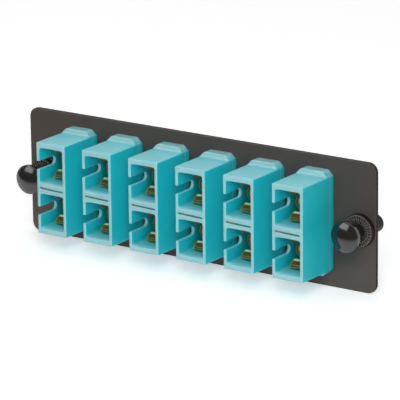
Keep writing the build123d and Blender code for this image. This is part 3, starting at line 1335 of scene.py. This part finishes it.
@dataclass
class LatchInsert:
    """Base plate, sleeve holder and two sprung hooks, drawn with its back on y = 0."""

    plate_width: float = 7.9
    plate_height: float = 9.9
    plate_thickness: float = 1.2
    holder_radius: float = 2.3
    bore_radius: float = 1.65
    lip_radius: float = 1.4
    lip: float = 0.35
    holder_length: float = 5.5
    arm_length: float = 9.1
    arm_half_width: float = 1.8
    arm_inside: float = 3.3
    arm_outside: float = 4.0
    crest: float = 2.0
    crest_half_width: float = 1.35
    ramp: float = 0.75
    ramp_end: float = 2.35
    ledge: float = 0.85
    crest_length: float = 0.1
    hook_back: float = 0.2
    edge_rounding: float = 0.09
    round_steps: int = 40

    def _arm(self, skin: Skin, way: int) -> np.ndarray:
        """One sprung arm with its hook.

        Its side profile (y, z) is carried from one flank to the other; the hook's flanks
        lean in by the share of the height between the arm and the crest.

        Args:
            skin: The skin that takes the patches.
            way: 1 for the upper arm, -1 for the lower.

        Returns:
            The arm's root outline on the base plate's front face.
        """
        tip, front = -self.arm_length, -self.plate_thickness
        top = tip + self.ramp + self.ledge
        hook = np.array(
            (
                (tip, self.arm_inside),
                (tip + self.ramp, self.ramp_end),
                (top, self.crest),
                (top + self.crest_length, self.crest),
                (top + self.crest_length + self.hook_back, self.arm_inside),
            )
        )
        inside = np.vstack((hook, (front, self.arm_inside)))
        outside = np.array(((front, self.arm_outside), (tip, self.arm_outside)))
        loop = np.vstack((inside, outside, hook[:1]))
        lean = (self.arm_inside - loop[:, 1]) / (self.arm_inside - self.crest)
        half = self.arm_half_width
        half = half - np.clip(lean, 0, 1) * (half - self.crest_half_width)
        flanks = [np.column_stack((side * half, loop[:, 0], way * loop[:, 1])) for side in (-1, 1)]
        keep = np.ones((1, len(loop) - 1), bool)
        keep[0, len(inside) - 1] = False
        skin.grid(np.stack(flanks), keep)
        for flank in flanks:
            skin.fill(flank[: len(hook)])
            skin.fill(np.vstack((flank[:1], flank[len(hook) - 1 : -1])))
        root = [len(inside) - 1, len(inside)]
        return np.vstack((flanks[0][root], flanks[1][root[::-1]]))

    def form(self) -> bpy.types.Mesh:
        """Makes the insert: plate, arms, and the holder as a profile turned round the Y axis.

        Returns:
            The closed mesh.
        """
        skin = Skin()
        front = -self.plate_thickness
        half_w, half_h = self.plate_width / 2, self.plate_height / 2
        outline = rectangle((-half_w, half_w), (-half_h, half_h))
        round_holder = arc((0, 0), self.holder_radius, 0, 360, self.round_steps)[:-1]
        bore = arc((0, 0), self.bore_radius, 0, 360, self.round_steps)[:-1]
        roots = [self._arm(skin, way) for way in (1, -1)]
        skin.fill(lift(outline, Sheet.XZ, front), [lift(round_holder, Sheet.XZ, front), *roots])
        skin.fill(lift(outline, Sheet.XZ, 0.0), [lift(bore, Sheet.XZ, 0.0)])
        skin.wall(lift(outline, Sheet.XZ, front), (0, self.plate_thickness, 0), closed=True)
        tip = -self.holder_length
        tube = (
            (self.holder_radius, front),
            (self.holder_radius, tip),
            (self.lip_radius, tip),
            (self.lip_radius, tip + self.lip),
            (self.bore_radius, tip + self.lip),
            (self.bore_radius, 0.0),
        )
        skin.grid(turned(np.array(tube), self.round_steps))
        return skin.mesh("latch_insert_form")


@dataclass
class SplitSleeve:
    """The ceramic tube with one lengthwise slit on its upper side."""

    length: float = 10.1
    outer_radius: float = 1.6
    wall: float = 0.35
    slit: float = 0.5
    edge_rounding: float = 0.06
    round_steps: int = 48

    def form(self) -> bpy.types.Mesh:
        """Makes the sleeve.

        A closed profile (r, y) is turned from one slit face to the other; the slit's faces
        are parallel, so each radius r starts asin(slit / 2r) from the middle of the slit.

        Returns:
            The closed mesh.
        """
        inner, half = self.outer_radius - self.wall, self.length / 2
        loop = np.array(
            ((self.outer_radius, -half), (self.outer_radius, half), (inner, half), (inner, -half))
        )
        loop = np.vstack((loop, loop[:1]))
        start = np.arcsin(self.slit / 2 / loop[:, :1])
        share = np.linspace(0, 1, self.round_steps + 1)
        angle = math.pi / 2 + start + share * (2 * math.pi - 2 * start)
        radius, along = loop[:, :1], loop[:, 1:] + 0 * angle
        points = np.stack((radius * np.cos(angle), along, radius * np.sin(angle)), axis=-1)
        skin = Skin()
        skin.grid(points)
        skin.fill(points[:-1, 0])
        skin.fill(points[:-1, -1])
        return skin.mesh("sleeve_form")


@dataclass
class AdapterRow:
    """Six duplex adapters: housings, latch inserts, sleeves and spring clips."""

    count: int = 6
    pitch: float = 15.0
    parting_face: float = -2.7
    port_pitch: float = 12.7
    housing: Housing = field(default_factory=Housing)
    clip: SpringClip = field(default_factory=SpringClip)
    latch: LatchInsert = field(default_factory=LatchInsert)
    sleeve: SplitSleeve = field(default_factory=SplitSleeve)

    def centres(self) -> list[float]:
        """The adapters' places along X."""
        return [(i - (self.count - 1) / 2) * self.pitch for i in range(self.count)]

    def build(self, finishes: dict[Slot, bpy.types.Material]) -> None:
        """Makes and dresses every adapter.

        Args:
            finishes: The material of every slot.
        """
        halves = {half: self.housing.form(half) for half in Half}
        clip, latch, sleeve = self.clip.form(), self.latch.form(), self.sleeve.form()
        for number, x in enumerate(self.centres(), start=1):
            name = f"adapter_{number}"
            for half, form in halves.items():
                node = f"{name}_{half.value}_housing"
                piece = placed(form, node, (x, self.parting_face, 0))
                soften(piece, self.housing.edge_rounding, angle=0.0)
                settle(piece, node, Body.PANEL, finishes[Slot.HOUSING])
            self.clip.build(f"{name}_spring_clip", clip, x, finishes[Slot.CLIP])
            for row, z in (("upper", self.port_pitch / 2), ("lower", -self.port_pitch / 2)):
                self._port(f"{name}_{row}", x, z, latch, sleeve, finishes)

    def _port(
        self,
        name: str,
        x: float,
        z: float,
        latch: bpy.types.Mesh,
        sleeve: bpy.types.Mesh,
        finishes: dict[Slot, bpy.types.Material],
    ) -> None:
        """The two latch inserts and the sleeve of one port.

        Args:
            name: Start of the nodes' names.
            x: The port's place along the row.
            z: The port's height.
            latch: The insert's form.
            sleeve: The sleeve's form.
            finishes: The material of every slot.
        """
        seat = (x, self.parting_face, z)
        for half, turn in ((Half.FRONT, 0.0), (Half.REAR, 180.0)):
            node = f"{name}_{half.value}_latch"
            piece = placed(latch, node, seat, turn)
            soften(piece, self.latch.edge_rounding)
            settle(piece, node, Body.PANEL, finishes[Slot.LATCH])
        node = f"{name}_sleeve"
        piece = placed(sleeve, node, seat)
        soften(piece, self.sleeve.edge_rounding)
        settle(piece, node, Body.PANEL, finishes[Slot.SLEEVE])


@dataclass
class Grommet:
    """Collar in front of the plate, with a ribbed face, and the split barrel behind it."""

    collar_radius: float = 4.4
    collar_face: float = -2.6
    plate_front: float = -1.2
    collar_rounding: float = 0.35
    seat_radius: float = 2.8
    lip_radius: float = 3.05
    lip_length: float = 0.9
    shank_radius: float = 2.6
    shank_end: float = 3.2
    barrel_radius: float = 2.4
    barrel_end: float = 6.9
    bore_radius: float = 1.35
    tip_chamfer: float = 0.4
    slot_width: float = 0.55
    slot_start: float = 3.4
    rib_count: int = 30
    rib_rings: tuple[tuple[float, float], ...] = ((2.25, 3.0), (3.15, 3.98))
    rib_depth: float = 0.25
    rib_fade: float = 0.12
    rib_steps: int = 8
    face_start: float = 2.1
    face_rows: int = 32
    rim_steps: int = 6
    leg_steps: int = 24
    edge_rounding: float = 0.07
    edge_angle: float = 30.0

    def _angles(self, radius: np.ndarray, steps: int) -> np.ndarray:
        """Angles round the axis, so that the slot's faces stay parallel.

        The slot cuts the barrel above and below the axis. In each half, the share t runs
        from slot face to slot face, and at radius r the first angle is asin(slot width / 2r)
        past the vertical.

        Args:
            radius: Radii in one column.
            steps: Chords in each half between the slot's two openings.

        Returns:
            Angles for every radius, in radians, over a full turn.
        """
        lean = np.arcsin(self.slot_width / 2 / radius)
        share = np.linspace(0, 1, steps + 1)
        half = math.pi / 2 + lean + share * (math.pi - 2 * lean)
        return np.hstack((half, half + math.pi, half[:, :1] + 2 * math.pi))

    def _round(self, profile: np.ndarray) -> np.ndarray:
        """A profile turned round the axis on the slotted angles.

        Args:
            profile: Points (radius, y).

        Returns:
            A grid of profile points x angles x 3.
        """
        radius = profile[:, :1]
        angle = self._angles(radius, self.leg_steps)
        along = profile[:, 1:] + 0 * angle
        return np.stack((radius * np.cos(angle), along, radius * np.sin(angle)), axis=-1)

    def _face(self) -> np.ndarray:
        """The collar's ribbed front, from the bore to the rounded rim.

        Its level is collar_face + rib_depth x (0.5 - 0.5 cos(rib_count a)) x window(r), where
        the window rises and falls smoothly at each ring's inner and outer radius.

        Returns:
            A grid of radii x angles x 3.
        """
        rim = self.collar_radius - self.collar_rounding
        radius = np.append(self.bore_radius, np.linspace(self.face_start, rim, self.face_rows))
        angle = np.linspace(0, 2 * math.pi, self.rib_count * self.rib_steps + 1)
        angle[-1] = 0
        edges = [np.minimum(radius - inner, outer - radius) for inner, outer in self.rib_rings]
        window = np.clip(np.max(edges, axis=0) / self.rib_fade + 0.5, 0, 1)
        window = window**2 * (3 - 2 * window)
        wave = 0.5 - 0.5 * np.cos(self.rib_count * angle)
        level = self.collar_face + self.rib_depth * window[:, None] * wave
        across = radius[:, None]
        return np.stack((across * np.cos(angle), level, across * np.sin(angle)), axis=-1)

    def collar(self) -> bpy.types.Mesh:
        """Makes the collar: its ribbed face, rounded rim, back and bore.

        Returns:
            The closed mesh.
        """
        skin = Skin()
        skin.grid(self._face())
        bend = self.collar_rounding
        centre = (self.collar_radius - bend, self.collar_face + bend)
        rounding = arc(centre, bend, -90, 0, self.rim_steps)
        rest = np.array(
            (
                (self.collar_radius, self.plate_front),
                (self.bore_radius, self.plate_front),
                (self.bore_radius, self.collar_face),
            )
        )
        skin.grid(turned(np.vstack((rounding, rest)), self.rib_count * self.rib_steps))
        return skin.mesh("collar_form")

    def barrel(self) -> bpy.types.Mesh:
        """Makes the barrel: seat, snap lip and shank all round, then two legs by the slot.

        Returns:
            The closed mesh.
        """
        ring = np.array(
            (
                (self.bore_radius, self.slot_start),
                (self.bore_radius, self.plate_front),
                (self.seat_radius, self.plate_front),
                (self.seat_radius, 0.0),
                (self.lip_radius, 0.0),
                (self.shank_radius, self.lip_length),
                (self.shank_radius, self.shank_end),
                (self.barrel_radius, self.slot_start),
            )
        )
        leg = np.array(
            (
                (self.barrel_radius, self.slot_start),
                (self.barrel_radius, self.barrel_end - self.tip_chamfer),
                (self.barrel_radius - self.tip_chamfer, self.barrel_end),
                (self.bore_radius, self.barrel_end),
                (self.bore_radius, self.slot_start),
            )
        )
        skin = Skin()
        skin.grid(self._round(ring))
        around = self._round(leg)
        column = np.arange(around.shape[1] - 1)
        in_slot = column % (self.leg_steps + 1) == self.leg_steps
        skin.grid(around, np.tile(~in_slot, (len(leg) - 1, 1)))
        floor = self._round(leg[[0, -1]])
        skin.grid(floor, in_slot[None])
        for side in np.flatnonzero(in_slot):
            skin.fill(around[:, side])
            skin.fill(around[:, side + 1])
        return skin.mesh("barrel_form")


@dataclass
class Plunger:
    """Knob with a bevelled rim and a low dome, a tapered neck and the pin."""

    collar_face: float = -2.6
    knob_back: float = -7.8
    knob_front: float = -8.9
    knob_radius: float = 4.1
    knob_bevel: float = 0.45
    dome_height: float = 1.0
    rear_round: float = 0.25
    neck_base_radius: float = 2.1
    neck_top_radius: float = 3.1
    pin_radius: float = 1.3
    pin_end: float = 6.5
    pin_tip_length: float = 0.8
    pin_tip_radius: float = 0.7
    rim_round: float = 0.3
    neck_top_round: float = 0.35
    neck_base_round: float = 0.08
    pin_shoulder_round: float = 0.3
    pin_tip_round: float = 0.2
    dome_steps: int = 14
    corner_steps: int = 5
    round_steps: int = 96

    def form(self) -> bpy.types.Mesh:
        """Makes the plunger, a profile (r, y) turned round the Y axis.

        The dome is a circle's arc of radius (a^2 + h^2) / 2h over half width a and height h.

        Returns:
            The closed mesh.
        """
        half = self.knob_radius - self.knob_bevel
        edge = self.knob_front - self.knob_bevel
        sphere = (half**2 + self.dome_height**2) / (2 * self.dome_height)
        reach = math.degrees(math.asin(half / sphere))
        centre = (0.0, edge - self.dome_height + sphere)
        dome = arc(centre, sphere, -90, -90 + reach, self.dome_steps)
        dome[0, 0] = 0.0
        corners = np.array(
            (
                dome[-1],
                (self.knob_radius, self.knob_front),
                (self.knob_radius, self.knob_back),
                (self.neck_top_radius, self.knob_back),
                (self.neck_base_radius, self.collar_face),
                (self.pin_radius, self.collar_face),
                (self.pin_radius, self.pin_end - self.pin_tip_length),
                (self.pin_tip_radius, self.pin_end),
                (0.0, self.pin_end),
            )
        )
        radii = (
            0.0,
            self.rim_round,
            self.rear_round,
            self.neck_top_round,
            self.neck_base_round,
            0.0,
            self.pin_shoulder_round,
            self.pin_tip_round,
            0.0,
        )
        profile = np.vstack((dome[:-1], rounded_corners(corners, radii, self.corner_steps)))
        skin = Skin()
        skin.grid(turned(profile, self.round_steps))
        return skin.mesh("plunger_form")


@dataclass
class Fasteners:
    """The two plunger fasteners near the plate's ends."""

    offset: float = 50.4
    drop: float = 0.7
    grommet: Grommet = field(default_factory=Grommet)
    plunger: Plunger = field(default_factory=Plunger)

    def centres(self) -> list[tuple[float, float]]:
        """The fasteners' places (x, z)."""
        return [(-self.offset, -self.drop), (self.offset, -self.drop)]

    def build(self, finishes: dict[Slot, bpy.types.Material]) -> None:
        """Makes and dresses both fasteners.

        Args:
            finishes: The material of every slot.
        """
        collar, barrel, plunger = self.grommet.collar(), self.grommet.barrel(), self.plunger.form()
        bodies = {"left": Body.LEFT_PLUNGER, "right": Body.RIGHT_PLUNGER}
        for (side, body), (x, z) in zip(bodies.items(), self.centres()):
            ring = placed(collar, f"{side}_grommet", (x, 0, z))
            settle(ring, f"{side}_grommet", Body.PANEL, finishes[Slot.GROMMET])
            tube = placed(barrel, f"{side}_grommet", (x, 0, z))
            tube.name = f"{side}_grommet_barrel_dressed"
            soften(tube, self.grommet.edge_rounding, angle=self.grommet.edge_angle)
            settle(tube, f"{side}_grommet", Body.PANEL, finishes[Slot.GROMMET])
            knob = placed(plunger, f"{side}_plunger", (x, 0, z))
            settle(knob, f"{side}_plunger", body, finishes[Slot.PLUNGER])


# Studio


@dataclass(frozen=True)
class Lamp:
    """One soft rectangular lamp that faces the panel.

    Its azimuth is measured from the panel's front towards its right, in degrees.
    """

    name: str
    azimuth: float
    elevation: float
    distance: float
    size: tuple[float, float]
    radiance: float
    lights: Lights = Lights.ALL

    def build(self) -> None:
        """Hangs the lamp; its power is pi x area x radiance."""
        data = bpy.data.lights.new(self.name, "AREA")
        data.shape = "RECTANGLE"
        data.size, data.size_y = self.size
        data.energy = math.pi * self.size[0] * self.size[1] * self.radiance
        lamp = bpy.data.objects.new(self.name, data)
        lamp.visible_diffuse = self.lights is not Lights.GLOSS
        lamp.visible_glossy = self.lights is not Lights.COLOUR
        around, above = math.radians(self.azimuth), math.radians(self.elevation)
        way = Vector(
            (
                math.sin(around) * math.cos(above),
                -math.cos(around) * math.cos(above),
                math.sin(above),
            )
        )
        lamp.location = way * self.distance
        lamp.rotation_mode = "QUATERNION"
        lamp.rotation_quaternion = (-way).to_track_quat("-Z", "Y")
        bpy.context.scene.collection.objects.link(lamp)


@dataclass
class Studio:
    """Pale floor, white surroundings, soft lamps and the photograph's camera."""

    yaw: float = 0.600033
    pitch: float = 0.284245
    roll: float = -0.0115983
    distance: float = 877.1786
    target: tuple[float, float, float] = (-0.12962, 0.0, -0.83012)
    focal_pixels: float = 3307.82
    image_pixels: float = 400.0
    fill: float = 0.15
    front_gloss: float = 0.15
    floor_gloss: float = 0.12
    white_to: float = 0.035
    dim_from: float = 0.065
    dim_ahead: float = -0.3
    white_behind: float = 0.1
    floor_half_side: float = 3.0
    floor_grey: float = 0.86
    floor_lift: float = 0.48
    lamps: tuple[Lamp, ...] = (
        Lamp("key_lamp", 32, 28, 1.0, (0.34, 0.75), 8.2, Lights.COLOUR),
        Lamp("top_lamp", 0, 85, 1.0, (0.9, 0.6), 1.3),
        Lamp("back_lamp", 220, 40, 1.0, (0.5, 0.3), 2.7),
        Lamp("softbox", -28, 38, 1.0, (0.75, 0.7), 2.3, Lights.GLOSS),
    )

    def camera(self) -> None:
        """The camera, from a fit of the panel's corners in the photograph."""
        back = Vector(
            (
                math.sin(self.yaw) * math.cos(self.pitch),
                -math.cos(self.yaw) * math.cos(self.pitch),
                math.sin(self.pitch),
            )
        )
        right = Vector((math.cos(self.yaw), math.sin(self.yaw), 0))
        up = back.cross(right)
        lean_right = right * math.cos(self.roll) + up * math.sin(self.roll)
        lean_up = up * math.cos(self.roll) - right * math.sin(self.roll)
        place = (Vector(self.target) + back * self.distance) * MM
        data = bpy.data.cameras.new("photo_camera")
        data.sensor_width = 36.0
        data.lens = self.focal_pixels * data.sensor_width / self.image_pixels
        data.clip_start, data.clip_end = 0.05, 50.0
        camera = bpy.data.objects.new("photo_camera", data)
        axes = Matrix((lean_right, lean_up, back)).transposed().to_4x4()
        camera.matrix_world = Matrix.Translation(place) @ axes
        bpy.context.scene.collection.objects.link(camera)
        bpy.context.scene.camera = camera

    def world(self) -> None:
        """White where it is seen, an even soft fill where it lights.

        Reflections see it white behind the panel and dimmer in front, as in a tent whose
        front is open.
        """
        world = bpy.data.worlds.new("white_tent")
        world.use_nodes = True
        graph = Graph(world.node_tree)
        way = graph.node("ShaderNodeTexCoord").outputs["Generated"]
        depth = graph.node("ShaderNodeSeparateXYZ", {0: way}).outputs["Y"]
        behind = graph.node(
            "ShaderNodeMapRange",
            {0: depth, 1: self.dim_ahead, 2: self.white_behind, 3: self.front_gloss, 4: 1.0},
        )
        path = graph.node("ShaderNodeLightPath").outputs
        plain = graph.math("MAXIMUM", path["Is Camera Ray"], path["Is Transmission Ray"])
        lit = graph.math("MULTIPLY_ADD", plain, 1.0 - self.fill, self.fill)
        mirrored = graph.math("SUBTRACT", behind.outputs[0], lit)
        strength = graph.math("MULTIPLY_ADD", path["Is Glossy Ray"], mirrored, lit)
        light = graph.node("ShaderNodeBackground", {"Color": (1, 1, 1, 1), "Strength": strength})
        graph.node("ShaderNodeOutputWorld", {"Surface": light.outputs[0]})
        bpy.context.scene.world = world

    def floor(self, level: float) -> None:
        """A wide pale floor that carries the object's soft shadow.

        Reflections see it white under and behind the panel and dimmer further in front.

        Args:
            level: The floor's height in metres.
        """
        reach = (-self.floor_half_side, self.floor_half_side)
        mesh = bpy.data.meshes.new("floor")
        mesh.from_pydata(lift(rectangle(reach, reach), Sheet.XY, level), [], [(0, 1, 2, 3)])
        made = bpy.data.materials.new("pale_floor")
        made.use_nodes = True
        graph = Graph(made.node_tree)
        place = graph.node("ShaderNodeTexCoord").outputs["Object"]
        depth = graph.node("ShaderNodeSeparateXYZ", {0: place}).outputs["Y"]
        near = graph.node(
            "ShaderNodeMapRange",
            {0: depth, 1: -self.dim_from, 2: -self.white_to, 3: self.floor_gloss, 4: 1.0},
        )
        path = graph.node("ShaderNodeLightPath").outputs
        dimmed = graph.math("SUBTRACT", 1.0, near.outputs[0])
        dimmed = graph.math("MULTIPLY", dimmed, path["Is Glossy Ray"])
        paleness = graph.math("SUBTRACT", 1.0, dimmed)
        seen = graph.math("MAXIMUM", path["Is Camera Ray"], path["Is Glossy Ray"])
        seen = graph.math("MAXIMUM", seen, path["Is Transmission Ray"])
        shade = graph.math("MULTIPLY", paleness, self.floor_grey)
        lit = graph.node("ShaderNodeCombineColor", {0: shade, 1: shade, 2: shade})
        cloth = graph.node("ShaderNodeBsdfDiffuse", {"Color": lit.outputs[0]})
        strength = graph.math("MULTIPLY", graph.math("MULTIPLY", seen, paleness), self.floor_lift)
        glow = graph.node("ShaderNodeEmission", {"Color": (1, 1, 1, 1), "Strength": strength})
        both = graph.node("ShaderNodeAddShader", {0: cloth.outputs[0], 1: glow.outputs[0]})
        graph.node("ShaderNodeOutputMaterial", {"Surface": both.outputs[0]})
        floor = bpy.data.objects.new("floor", mesh)
        mesh.materials.append(made)
        bpy.context.scene.collection.objects.link(floor)
        floor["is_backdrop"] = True

    def build(self, level: float) -> None:
        """Sets up the whole studio.

        Args:
            level: The floor's height in metres.
        """
        bpy.context.scene.view_settings.view_transform = "Standard"
        self.world()
        self.floor(level)
        for lamp in self.lamps:
            lamp.build()
        self.camera()


def main() -> None:
    logging.basicConfig(level=logging.INFO, format="%(name)s: %(message)s")
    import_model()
    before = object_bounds()
    finishes = Palette().dress()
    row = AdapterRow()
    fasteners = Fasteners()
    PanelPlate().build(row.centres(), fasteners.centres(), finishes[Slot.PLATE])
    row.build(finishes)
    fasteners.build(finishes)
    Studio().build(before[0].z - FLOOR_GAP)


if __name__ == "__main__":
    main()
